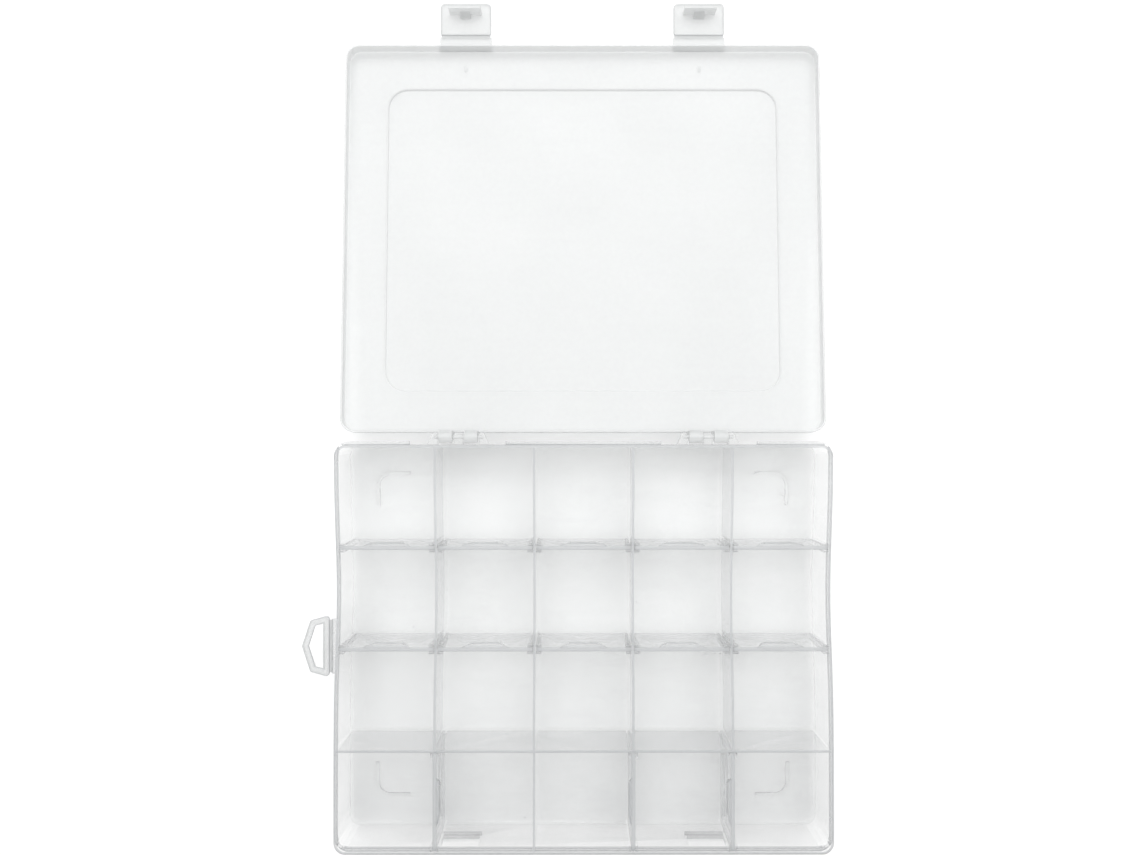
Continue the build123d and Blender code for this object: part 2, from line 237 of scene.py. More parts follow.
def inset(corners, radii, depths):
    """A polygon drawn in by each depth: every corner moves along its mitre, (n1 + n2) / (1 + n1.n2)
    times the depth, and its radius shrinks by the depth where the corner is convex."""
    depths = np.asarray(depths, float)
    into, out, n1, n2 = edges_of(corners)
    mitre = (n1 + n2) / (1 + (n1 * n2).sum(-1, keepdims=True))
    turn = np.sign(into[..., 0] * out[..., 1] - into[..., 1] * out[..., 0])
    shrunk = np.broadcast_to(radii, turn.shape) - turn * depths[:, None]
    return corners + mitre * depths[:, None, None], np.maximum(shrunk, 0.02 * MM)


def outline(corners, radii, arc=6, runs=8):
    """Polygons with rounded corners, as (J, N, 2) points, anticlockwise.

    A corner that turns by phi is an arc of radius r about the point r tan(phi / 2) back along the side
    before it and r to the inside; the straight stretches between arcs are divided evenly."""
    into, out, normal, _ = edges_of(corners)
    phi = np.arctan2(into[..., 0] * out[..., 1] - into[..., 1] * out[..., 0], (into * out).sum(-1))
    sign = np.where(phi < 0, -1.0, 1.0)[..., None]
    r = np.broadcast_to(radii, phi.shape)[..., None]
    centre = corners - into * r * np.tan(abs(phi) / 2)[..., None] + sign * r * normal
    angle = np.linspace(0, 1, arc + 1) * abs(phi)[..., None]
    arcs = (centre[..., None, :] - (sign * r * normal)[..., None, :] * np.cos(angle)[..., None]
            + (r * into)[..., None, :] * np.sin(angle)[..., None])
    start, end = arcs[..., -1:, :], np.roll(arcs[..., :1, :], -1, -3)
    along = np.linspace(0, 1, runs + 1)[1:-1, None]
    sides = start * (1 - along) + end * along
    return np.concatenate([arcs, sides], -2).reshape(corners.shape[:-2] + (-1, 2))


def stack(loops, heights, edge=0.0):
    """A closed shell: loop j lifted to height j, with a pole at the middle of the first and last loop.
    Where the heights rise, the faces look outwards. Returns points, faces and the edge value."""
    rings, count = loops.shape[:2]
    heights = np.broadcast_to(np.asarray(heights, float).reshape(rings, -1), (rings, count))
    edge = np.broadcast_to(np.asarray(edge, float), (rings,))
    points = np.concatenate([loops, heights[..., None]], -1).reshape(-1, 3)
    poles = points.reshape(rings, count, 3)[[0, -1]].mean(1)
    around = np.arange(count)
    ahead = np.roll(around, -1)
    row = np.arange(rings - 1)[:, None] * count
    quads = np.stack([row + around, row + ahead, row + count + ahead, row + count + around], -1)
    quads = quads.reshape(-1, 4)
    first, last = rings * count, (rings - 1) * count
    low = np.stack([np.full(count, first), ahead, around], -1)
    high = np.stack([np.full(count, first + 1), last + around, last + ahead], -1)
    values = np.concatenate([np.repeat(edge, count), edge[[0, -1]]])
    return np.concatenate([points, poles]), [quads, np.concatenate([low, high])], values


def tube(grid, edge=0.0):
    """A shell closed both ways: grid (J, N, 3) of loops carried round a closed path."""
    rings, count = grid.shape[:2]
    j, n = np.meshgrid(np.arange(rings), np.arange(count), indexing="ij")
    j2, n2 = (j + 1) % rings, (n + 1) % count
    quads = np.stack([j * count + n, j * count + n2, j2 * count + n2, j2 * count + n], -1).reshape(-1, 4)
    values = np.broadcast_to(np.asarray(edge, float), (rings, count)).reshape(-1)
    return grid.reshape(-1, 3), [quads], values


def round_over(low, high, ease, inner=(), steps=4):
    """Profile of a plate with quarter-round edges: insets, heights and edge values. The inset is
    ease (1 - cos a) and the height ease (1 - sin a) from the face; inner insets lie on both faces."""
    a = np.linspace(0, math.pi / 2, steps + 1)
    inner = np.asarray(inner, float)
    rise, fall = ease * (1 - np.sin(a)), ease * (1 - np.cos(a))
    depths = np.concatenate([inner, fall[::-1], fall, inner[::-1]])
    heights = np.concatenate([inner * 0 + low, low + rise[::-1], high - rise, inner * 0 + high])
    edge = np.concatenate([inner * 0, fall * 0 + 1, fall * 0 + 1, inner * 0])
    return depths, heights, edge


def plate_of(corners, radii, low, high, ease, inner, arc=6, runs=8):
    """A plate of any outline with rounded edges."""
    depths, heights, edge = round_over(low, high, ease, inner)
    return stack(outline(*inset(np.asarray(corners, float), radii, depths), arc, runs), heights, edge)


def turned(shell, order):
    """A shell with its axes renamed in cyclic order, so that its faces still look outwards."""
    return shell[0][:, order], shell[1], shell[2]


def moved(shell, matrix):
    """A shell carried by a rigid 4 x 4 matrix."""
    m = np.array(matrix)
    return shell[0] @ m[:3, :3].T + m[:3, 3], shell[1], shell[2]


def about(point, axis, angle):
    """The turn by an angle about an axis through a point."""
    there, back = Matrix.Translation(point), Matrix.Translation(-Vector(point))
    return there @ Matrix.Rotation(angle, 4, Vector(axis)) @ back


def make_piece(name, shells, material):
    """One mesh from several shells, with the edge value as a point attribute, shaded smooth."""
    starts = np.cumsum([0] + [len(points) for points, _, _ in shells])
    faces = [
        face for start, (_, groups, _) in zip(starts, shells)
        for group in groups for face in (group + start).tolist()
    ]
    points = np.concatenate([points for points, _, _ in shells])
    edge = np.concatenate([values for _, _, values in shells])
    mesh = bpy.data.meshes.new(name)
    mesh.from_pydata(points.tolist(), [], faces)
    mesh.attributes.new("edge", "FLOAT", "POINT").data.foreach_set("value", edge.astype(np.float32))
    mesh.shade_smooth()
    mesh.set_sharp_from_angle(angle=math.radians(50))
    mesh.materials.append(material)
    piece = bpy.data.objects.new(name, mesh)
    bpy.context.scene.collection.objects.link(piece)
    return piece


# ---------------------------------------------------------------- plastics

class NodeWeb:
    """The nodes of one material, with a method for each kind of step that the plastics take."""

    def __init__(self, material):
        """Takes the material's own shader, and starts its patterns from Object coordinates."""
        material.use_nodes = True
        self.nodes, self.links = material.node_tree.nodes, material.node_tree.links
        self.shader = self.nodes["Principled BSDF"]
        self.place = self.nodes.new("ShaderNodeTexCoord").outputs["Object"]

    def noise(self, scale, detail, place=None):
        """Fractal noise over the object, its features 1 / scale metres wide."""
        texture = self.nodes.new("ShaderNodeTexNoise")
        texture.inputs["Scale"].default_value = scale
        texture.inputs["Detail"].default_value = detail
        self.links.new(self.place if place is None else place, texture.inputs["Vector"])
        return texture.outputs["Fac"]

    def ranged(self, value, low, high, start=0.0, end=1.0):
        """A value carried from low..high to start..end, held at both ends."""
        node = self.nodes.new("ShaderNodeMapRange")
        for name, number in (("From Min", low), ("From Max", high), ("To Min", start), ("To Max", end)):
            node.inputs[name].default_value = number
        self.links.new(value, node.inputs["Value"])
        return node.outputs["Result"]

    def maths(self, kind, a, b):
        """A sum, product or comparison of two values."""
        node = self.nodes.new("ShaderNodeMath")
        node.operation = kind
        for socket, value in zip(node.inputs, (a, b)):
            if isinstance(value, (int, float)):
                socket.default_value = value
            else:
                self.links.new(value, socket)
        return node.outputs[0]

    def times(self, a, b):
        """The product of two values."""
        return self.maths("MULTIPLY", a, b)

    def total(self, first, *others):
        """The sum of all the values, in their order."""
        for other in others:
            first = self.maths("ADD", first, other)
        return first

    def specks(self):
        """Small round flecks, in about a tenth of the cells of a Voronoi pattern."""
        solid, gone, rare = 0.012, 0.03, 0.9
        cells = self.nodes.new("ShaderNodeTexVoronoi")
        cells.inputs["Scale"].default_value = SPECKS
        self.links.new(self.place, cells.inputs["Vector"])
        chance = self.nodes.new("ShaderNodeSeparateColor")
        self.links.new(cells.outputs["Color"], chance.inputs[0])
        return self.times(self.ranged(cells.outputs["Distance"], solid, gone, 1, 0),
                          self.maths("GREATER_THAN", chance.outputs[0], rare))

    def flow_marks(self):
        """Broad faint bands, as molten plastic leaves them: noise nine times finer across than along."""
        turn, stretch = 0.6, 9
        across = self.nodes.new("ShaderNodeMapping")
        across.inputs["Rotation"].default_value = (0, 0, turn)
        across.inputs["Scale"].default_value = (1, stretch, 1)
        self.links.new(self.place, across.inputs["Vector"])
        return self.ranged(self.noise(FLOW_MARKS, 1, across.outputs[0]), 0.45, 0.75)


def milky_plastic(name, look, colour, haze, dark=1.0, slant=None, grain=0.25, standing=False):
    """Injection-moulded milky plastic: clear enough to show what lies behind, denser at its edges, with
    drifting clouds, flecks, flow marks, fine grain and a soft uneven gloss.

    haze is what one face hides, slant what is added at a glancing angle, dark how strongly the edge
    values count, and grain the strength of the bump. On the standing tray and its dividers the colour is
    darkened towards the front, a painted shade for the light that falls off there, and the tray's floor hides
    more than its walls."""
    material = bpy.data.materials.new(name)
    web = NodeWeb(material)
    nodes, links, shader = web.nodes, web.links, web.shader
    shader.inputs["IOR"].default_value = 1.49
    cloud, mottle, fine = web.noise(CLOUDS, 3), web.noise(MOTTLE, 2), web.noise(GRAIN, 1)
    flow = web.flow_marks()

    edge = nodes.new("ShaderNodeAttribute")
    edge.attribute_name = "edge"
    dense = web.total(web.times(edge.outputs["Fac"], dark), web.specks())
    tinted = [dense, web.ranged(cloud, 0.35, 0.7, 0, 0.05)]

    facing = nodes.new("ShaderNodeLayerWeight")
    facing.inputs["Blend"].default_value = 0.4
    glance = look.glance if slant is None else slant
    hiding = [web.ranged(facing.outputs["Facing"], 0.2, 1, haze, haze + glance),
              web.times(dense, look.edge_haze), web.ranged(cloud, 0.3, 0.7, -0.02, 0.02)]

    if standing:
        split = nodes.new("ShaderNodeSeparateXYZ")
        links.new(web.place, split.inputs[0])
        # Painted shade: the colour is darkened towards the front wall, standing in for the light falling off
        # there.
        front_wall, shade_end = -90 * MM, -20 * MM
        floor_top, foot_end = 1.4 * MM, 3 * MM
        front = web.ranged(split.outputs["Y"], front_wall, shade_end, 1, 0)
        tinted.append(web.times(front, look.painted_front_shade))
        hiding.append(web.ranged(split.outputs["Z"], floor_top, foot_end, look.floor_haze, 0))
    hiding += [web.ranged(mottle, 0.3, 0.7, -0.006, 0.006), web.times(flow, 0.012)]
    links.new(web.total(*hiding), shader.inputs["Alpha"])

    mix = nodes.new("ShaderNodeMix")
    mix.data_type = "RGBA"
    mix.inputs["A"].default_value = (*colour, 1)
    mix.inputs["B"].default_value = (*look.edge, 1)
    links.new(web.total(*tinted), mix.inputs["Factor"])
    links.new(mix.outputs["Result"], shader.inputs["Base Color"])
    gloss = web.total(web.ranged(mottle, 0.3, 0.7, 0.30, 0.37), web.times(flow, 0.05))
    links.new(gloss, shader.inputs["Roughness"])

    swell = 20      # how much higher the clouds stand than the grain
    bump = nodes.new("ShaderNodeBump")
    bump.inputs["Strength"].default_value = grain
    bump.inputs["Distance"].default_value = 0.004 * MM
    links.new(web.total(fine, web.times(cloud, swell)), bump.inputs["Height"])
    links.new(bump.outputs["Normal"], shader.inputs["Normal"])
    return material


def bowed(points, warp):
    """The moulding's shrinkage: x is drawn towards the middle by pull (x / half) exp(-((y - place) / run)^2),
    which fades out along the hang loop's strip, beyond the ledge."""
    x, y = points[:, 0], points[:, 1]
    fade = np.clip((warp.strip_end - abs(x)) / (warp.strip_end - warp.half), 0, 1)
    points[:, 0] -= warp.pull * fade * x / warp.half * np.exp(-((y - warp.place) / warp.run) ** 2)
    return points


class SORTINGTRAY_OT_tray(bpy.types.Operator):
    """Builds the moulded tray: the packed shell, cut across in slices and bowed in at its sides"""
    bl_idname = "sorting_tray.tray"
    bl_label = "Tray"

    def execute(self, context):
        scene = context.scene
        look, warp = scene.sorting_tray_look, scene.sorting_tray_warp
        low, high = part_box("tray")
        weld = 0.001 * MM
        mesh = frame["nodes"]["tray"].data.copy()
        mesh.name = "tray_shell"
        shell = bmesh.new()
        shell.from_mesh(mesh)
        bmesh.ops.remove_doubles(shell, verts=shell.verts, dist=weld)
        cuts = [((0, y, 0), (0, 1, 0)) for y in np.arange(low.y + warp.slice, high.y, warp.slice)]
        cuts += [((side * (warp.wall_x + warp.root), 0, 0), (1, 0, 0)) for side in (-1, 1)]
        cuts += [((0, side * (warp.wall_y + warp.root), 0), (0, 1, 0)) for side in (-1, 1)]
        for place, facing in cuts:
            everything = shell.verts[:] + shell.edges[:] + shell.faces[:]
            bmesh.ops.bisect_plane(shell, geom=everything, plane_co=place, plane_no=facing, dist=weld)
        shell.to_mesh(mesh)
        shell.free()
        self.mark(mesh, warp, high.z)
        points = np.empty(len(mesh.vertices) * 3, np.float32)
        mesh.vertices.foreach_get("co", points)
        mesh.vertices.foreach_set("co", bowed(points.reshape(-1, 3), warp).reshape(-1))
        mesh.shade_smooth()
        mesh.set_sharp_from_angle(angle=math.radians(35))
        mesh.materials.clear()
        mesh.materials.append(milky_plastic("tray_plastic", look, look.plastic, look.haze, standing=True))
        tray = bpy.data.objects.new("tray_shell", mesh)
        scene.collection.objects.link(tray)
        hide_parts("tray")
        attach(tray, "tray")
        return {"FINISHED"}

    def mark(self, mesh, warp, rim):
        """Gives each face its edge value, from where its middle lies before the shell is bowed: most on
        the rim and at the ledge's root, less on the ledge, the ribs and the outside of the walls, and
        none on the floor. A later mark wins over an earlier one."""
        middles, normals = np.empty(len(mesh.polygons) * 3), np.empty(len(mesh.polygons) * 3)
        mesh.polygons.foreach_get("center", middles)
        mesh.polygons.foreach_get("normal", normals)
        x, y, z = abs(middles.reshape(-1, 3)).T
        along, up = middles.reshape(-1, 3)[:, 1], normals.reshape(-1, 3)[:, 2]
        hair = 0.01 * MM
        ledge_top, ledge_foot = rim - 7.9 * MM, rim - 9.7 * MM

        top = z > rim - hair
        step = (z < rim - 0.3 * MM) & (z > rim - 0.5 * MM) & (up > 0.5)
        outside = (x > warp.wall_x - 5 * hair) | (y > warp.wall_y - 5 * hair)
        collar = outside & (z > ledge_top) & (z < rim - hair)
        ledge = outside & (z > ledge_foot) & (z < ledge_top)
        root = ledge & (x < warp.wall_x + warp.root) & (y < warp.wall_y + warp.root)
        pocket = (abs(x - warp.latch_x) < 10 * MM) & (along < -93 * MM) & (along > 2 * hair - warp.wall_y)
        pocket &= (z > rim - 20.6 * MM) & (z < rim - 9.4 * MM)
        bracket = (along > warp.wall_y + hair) & (abs(x - warp.hinge_x) < 16 * MM)
        off_row = np.minimum(y, abs(along - warp.row))
        off_column = abs(x % warp.column - warp.column / 2)
        rib = (off_row > 0.7 * MM) & (off_row < 2.2 * MM) & (z > 1.4 * MM) & (z < rim - 0.41 * MM)
        rib &= (off_column > 0.61 * MM) & (off_column < 3.5 * MM)
        marks = ((top, 1.0), (step, 0.5), (collar, 0.15), (ledge, 0.4), (ledge & (abs(up) < 0.5), 1.0),
                 (root, 1.0), (outside & (z < ledge_foot), 0.1), (pocket, 0.1), (bracket, 0.08), (rib, 0.2))
        edge = np.zeros(len(mesh.polygons), np.float32)
        for where, value in marks:
            edge[where] = value
        mesh.attributes.new("edge", "FLOAT", "FACE").data.foreach_set("value", edge)


def shut_lid(lid, latch):
    """Shells of the lid as it lies shut.

    The cover is one profile carried round a rounded rectangle, from a pole on the stacking panel out
    over the panel's edge and the plate, down the skirt and back inside to a pole under the panel."""
    rise, plate = lid.panel_rise, lid.plate
    half = np.array((lid.width, lid.depth)) / 2
    panel = half - lid.panel_margin
    quarter = np.linspace(0, math.pi / 2, 7)
    grow, fall = np.sin(quarter), 1 - np.cos(quarter)
    soft = 0.3 * MM
    under = lid.top - plate
    low = under - lid.drop

    def scaled(shares, across, corner, height):
        """Level rings, each a share of a rounded rectangle: half sizes, corner, height and edge value."""
        shares = np.asarray(shares)
        columns = (shares * across[0], shares * across[1], shares * corner, shares * 0 + height, shares * 0)
        return np.stack(columns, -1)

    def eased(outer, corner, depth, height, edge):
        """Rings drawn in by each depth from a rounded rectangle, in the same columns."""
        depth = np.asarray(depth, float)
        height = np.broadcast_to(height, depth.shape)
        edge = np.broadcast_to(edge, depth.shape)
        return np.stack([outer[0] - depth, outer[1] - depth, corner - depth, height, edge], -1)

    hollow = panel - lid.panel_side
    hollow_corner = lid.panel_corner - lid.panel_side
    blend = np.linspace(0, 1, 6)[1:-1, None]
    near = 0.4 * MM
    spread = (0.05, 0.25, 0.45, 0.65, 0.85, 0.96)
    panel_foot = eased(panel, lid.panel_corner, -soft * grow, lid.top + soft * (1 - grow), 0.3)
    panel_foot = np.concatenate([panel_foot, eased(panel, lid.panel_corner, (-soft - near,), lid.top, 0)])
    rim = eased(half, lid.corner, lid.ease * (1 - grow), lid.top - lid.ease * fall, np.linspace(0.2, 1, 7))
    rim = np.concatenate([eased(half, lid.corner, (lid.ease + near,), lid.top, 0), rim])
    plate_top = panel_foot[-1] * (1 - blend) + rim[0] * blend
    plate_top[:, 4] = 0
    lip_out = eased(half, lid.corner, soft * fall, low + soft * (1 - grow), 1)
    lip_in = eased(half, lid.corner, lid.skirt - soft * fall[::-1], low + soft * (1 - grow[::-1]), 1)
    nook = eased(half, lid.corner, lid.skirt + lid.ease / 2 * fall, under - lid.ease / 2 * (1 - grow), 0.2)
    nook = np.concatenate([nook, eased(half, lid.corner, (lid.skirt + lid.ease / 2 + near,), under, 0)])
    hollow_foot = eased(hollow, hollow_corner, -soft * grow[::-1], under + soft * (1 - grow[::-1]), 0.3)
    hollow_foot = np.concatenate([eased(hollow, hollow_corner, (-soft - near,), under, 0), hollow_foot])
    plate_under = nook[-1] * (1 - blend) + hollow_foot[0] * blend
    plate_under[:, 4] = 0
    rows = np.concatenate([
        scaled(spread, panel, lid.panel_corner, lid.top + rise),
        eased(panel, lid.panel_corner, (soft + near,), lid.top + rise, 0),
        eased(panel, lid.panel_corner, soft * (1 - grow), lid.top + rise - soft * fall, 0.3),
        panel_foot, plate_top, rim, lip_out, lip_in, nook, plate_under, hollow_foot,
        eased(hollow, hollow_corner, soft * fall, under + rise - soft * (1 - grow), 0.2),
        eased(hollow, hollow_corner, (soft + near,), under + rise, 0),
        scaled(spread[::-1], hollow, hollow_corner, under + rise),
    ])[::-1]
    cover = stack(outline(rectangle(rows[:, 0], rows[:, 1]), rows[:, 2:3], 8, 24), rows[:, 3], rows[:, 4])

    turn = np.radians(np.arange(0, 360, 15))
    circle = np.stack([np.cos(turn), np.sin(turn)], -1)
    shells = [cover]
    for side in (-1, 1):
        shells += [lid_neck(lid, latch, side, half[1], under + plate / 2),
                   gate_mark(circle, side * latch.middle, lid.gate_in - half[1], under)]
        shells += hinge_half(lid, circle, side, half[1], low)
    return shells


def lid_neck(lid, latch, side, front, mid):
    """The neck of one latch, a plate that starts a little inside the face of the skirt."""
    sunk = 0.2 * MM
    neck = plate_of(rectangle(latch.neck_width / 2, latch.neck_length / 2 + sunk), 0.3 * MM,
                    -lid.plate / 2, lid.plate / 2, 0.3 * MM, (2.5 * MM, 0.9 * MM))
    out = sunk - front - latch.neck_length / 2
    return moved(neck, Matrix.Translation((side * latch.middle, out, mid)))


def gate_mark(circle, x, y, z):
    """The mark of a moulding gate: an oval pip that stands down from the plate."""
    half_sizes = np.array((0.7, 1.7)) * MM
    pip = circle * half_sizes * np.array((0.5, 1, 1, 0.8))[:, None, None]
    gate = stack(pip, np.array((0, 0, 0.35, 0.42)) * MM, 0.8)
    return moved(gate, Matrix.Translation((x, y, z + 0.1 * MM)) @ Matrix.Rotation(math.pi, 4, "X"))


def hinge_half(lid, circle, side, rear, low):
    """The two knuckles and the pin of one hinge. A knuckle's section is a half circle about the pin,
    drawn out to an arm that reaches up the skirt."""
    inside = HINGE.y - lid.knuckle_radius
    barrel = np.radians(np.linspace(180, 360, 17))
    teardrop = np.concatenate([
        np.stack([HINGE.y + lid.knuckle_radius * np.cos(barrel),
                  HINGE.z + lid.knuckle_radius * np.sin(barrel)], -1),
        [(rear, low + lid.knuckle_arm), (inside, low + lid.knuckle_arm)],
    ])
    tuck, along, edge = round_over(-lid.knuckle_width / 2, lid.knuckle_width / 2, 0.3 * MM, (1.2 * MM,))
    loops = outline(*inset(teardrop, 0.05 * MM, tuck), 1, 1)
    knuckle = turned(stack(loops, along, edge * 0.3), TO_X_AXIS)
    shells = [moved(knuckle, Matrix.Translation((side * lid.hinge_x + hand * lid.knuckle_x, 0, 0)))
              for hand in (-1, 1)]
    tuck, along, edge = round_over(-lid.pin_half, lid.pin_half, 0.3 * MM)
    pin = turned(stack(circle * (lid.pin_radius - tuck)[:, None, None], along, edge * 0.5), TO_X_AXIS)
    return shells + [moved(pin, Matrix.Translation((side * lid.hinge_x, HINGE.y, HINGE.z)))]


class SORTINGTRAY_OT_lid(bpy.types.Operator):
    """Builds the lid with its stacking panel, latch necks, knuckles and hinge pins"""
    bl_idname = "sorting_tray.lid"
    bl_label = "Lid"

    def execute(self, context):
        scene = context.scene
        swing = about(HINGE, (1, 0, 0), OPENED)
        look = scene.sorting_tray_look
        plastic = milky_plastic("lid_plastic", look, look.lid_plastic, look.lid_haze,
                                dark=0.16, slant=look.lid_glance, grain=0.3)
        shells = shut_lid(scene.sorting_tray_lid, scene.sorting_tray_latch)
        lid = make_piece("lid_cover", [moved(shell, swing) for shell in shells], plastic)
        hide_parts("lid")
        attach(lid, "lid")
        return {"FINISHED"}


def fold_strip(start, end, centre, thick_ends, thick, half):
    """A folding film: its section lies between start and end along y, and its thickness falls from the
    neighbours' to the film's with the smooth step of the distance to the fold; carried along x."""
    y = np.linspace(start, end, 25)
    reach = np.clip(abs(y - centre) / (0.42 * abs(end - start)), 0, 1)
    t = (thick + (thick_ends - thick) * reach * reach * (3 - 2 * reach)) / 2
    section = np.concatenate([np.stack([y, -t], -1), np.stack([y[::-1], t[::-1]], -1)])
    x = np.array([-1, -1, 1, 1]) * half + np.array([0, 1, -1, 0]) * 0.15 * MM
    middle = np.array([(start + end) / 2, 0])
    loops = middle + (section - middle) * np.array([0.9, 1, 1, 0.9])[:, None, None]
    return turned(stack(loops, x, 0.4), TO_X_AXIS)


class SORTINGTRAY_OT_latches(bpy.types.Operator):
    """Builds the two latch flaps with their hooks, and the films that they fold on"""
    bl_idname = "sorting_tray.latches"
    bl_label = "Latches"

    def execute(self, context):
        scene = context.scene
        lid, latch = scene.sorting_tray_lid, scene.sorting_tray_latch
        look = scene.sorting_tray_look
        plastic = milky_plastic("latch_plastic_painted_shade", look, look.latch_plastic_painted_shade, look.latch_haze,
                                dark=0.45, slant=look.lid_glance, grain=0.2)
        fold_y = -(lid.depth / 2 + latch.neck_length + latch.film_web)
        fold_z = lid.top - lid.plate / 2
        root = fold_y - latch.film_reach
        inner = fold_z - latch.thick / 2
        hook_y = fold_y - latch.hook_gap
        sink = 0.3 * MM
        corners = rectangle(latch.width / 2, latch.reach / 2)
        radii = np.array((latch.root, latch.root, latch.tip, latch.tip))
        depths, heights, edge = round_over(inner, inner + latch.thick, 0.35 * MM,
                                           (7.5 * MM, 1.9 * MM, 1.5 * MM, 0.9 * MM))
        sunk = 0.12 * MM * np.isin(np.arange(len(depths)), len(depths) - np.array((1, 2)))
        flap = stack(outline(*inset(corners, radii, depths), 8, 10), heights - sunk, edge)
        flap = moved(flap, Matrix.Translation((0, root - latch.reach / 2, 0)))
        bar = plate_of(rectangle(latch.hook_width / 2, latch.hook_thick / 2), 0.25 * MM,
                       inner - latch.hook_reach, inner + sink, 0.3 * MM, (0.5 * MM,))
        bar[2][:] = 0
        bar = moved(bar, Matrix.Translation((0, hook_y - latch.hook_thick / 2, 0)))
        wedge = [(hook_y - sink, inner + sink), (hook_y - sink, inner - latch.gusset_height),
                 (hook_y, inner - latch.gusset_height), (hook_y + latch.gusset_reach, inner),
                 (hook_y + latch.gusset_reach, inner + sink)]
        gusset = plate_of(wedge, 0.1 * MM, -latch.gusset_width / 2, latch.gusset_width / 2, 0.2 * MM, ())
        gusset = turned(gusset, TO_X_AXIS)
        gusset[2][:] = 0
        film = fold_strip(fold_y - latch.film_reach - FILM_LAP, fold_y + latch.film_web + FILM_LAP, fold_y,
                          lid.plate * 0.9, latch.film_thick, latch.film_width / 2)
        film = moved(film, Matrix.Translation((0, 0, fold_z)))
        swing = about(HINGE, (1, 0, 0), OPENED)
        level = about((0, fold_y, fold_z), (1, 0, 0), -OPENED - math.pi)
        for side, hand in ((-1, "left"), (1, "right")):
            across = Matrix.Translation((side * latch.middle, 0, 0))
            shells = [moved(shell, swing @ level @ across) for shell in (flap, bar, gusset)]
            flap_piece = make_piece(f"latch_{hand}_flap", shells, plastic)
            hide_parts(f"latch_{hand}")
            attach(flap_piece, f"latch_{hand}")
            film_piece = make_piece(f"latch_{hand}_fold", [moved(film, swing @ across)], plastic)
            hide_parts(f"latch_{hand}_film")
            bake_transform(film_piece)
        return {"FINISHED"}


class SORTINGTRAY_OT_hang_loop(bpy.types.Operator):
    """Builds the hang loop and the film that it folds on"""
    bl_idname = "sorting_tray.hang_loop"
    bl_label = "Hang Loop"

    def execute(self, context):
        scene = context.scene
        loop = scene.sorting_tray_loop
        look = scene.sorting_tray_look
        plastic = milky_plastic("loop_plastic_painted_shade", look, look.loop_plastic_painted_shade, look.lid_haze,
                                dark=0.5, slant=look.lid_glance, grain=0.2)
        fold = Vector(JOINTS["hang_loop_fold"]["pos_m"])
        root = fold.x - loop.root_gap
        corners = np.array([
            (root, -loop.span / 2), (root, loop.span / 2),
            (root - loop.shoulder_reach, loop.shoulder_span / 2), (root - loop.reach, 0),
            (root - loop.shoulder_reach, -loop.shoulder_span / 2),
        ])
        depths, heights, edge = round_over(-loop.thick / 2, loop.thick / 2, 0.3 * MM, (1.4 * MM, 0.8 * MM))
        outer = outline(*inset(corners, loop.corner, depths))
        inner = outline(*inset(corners, loop.corner, loop.band - depths))
        levels = np.broadcast_to(heights[:, None, None], outer.shape[:2] + (1,))
        grid = np.concatenate([np.concatenate([outer, levels], -1), np.concatenate([inner, levels], -1)[::-1]])
        band = moved(tube(grid, np.concatenate([edge, edge])[:, None]), Matrix.Translation((0, 0, fold.z)))
        piece = make_piece("hang_loop_band", [band], plastic)
        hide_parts("hang_loop")
        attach(piece, "hang_loop")
        film = fold_strip(-loop.root_gap - FILM_LAP, loop.film_web + FILM_LAP, 0,
                          loop.thick * 0.8, loop.film_thick, loop.film_width / 2)
        film = moved(film, Matrix.Translation(fold) @ Matrix.Rotation(-math.pi / 2, 4, "Z"))
        piece = make_piece("hang_loop_fold", [film], plastic)
        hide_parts("hang_loop_film")
        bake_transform(piece)
        return {"FINISHED"}


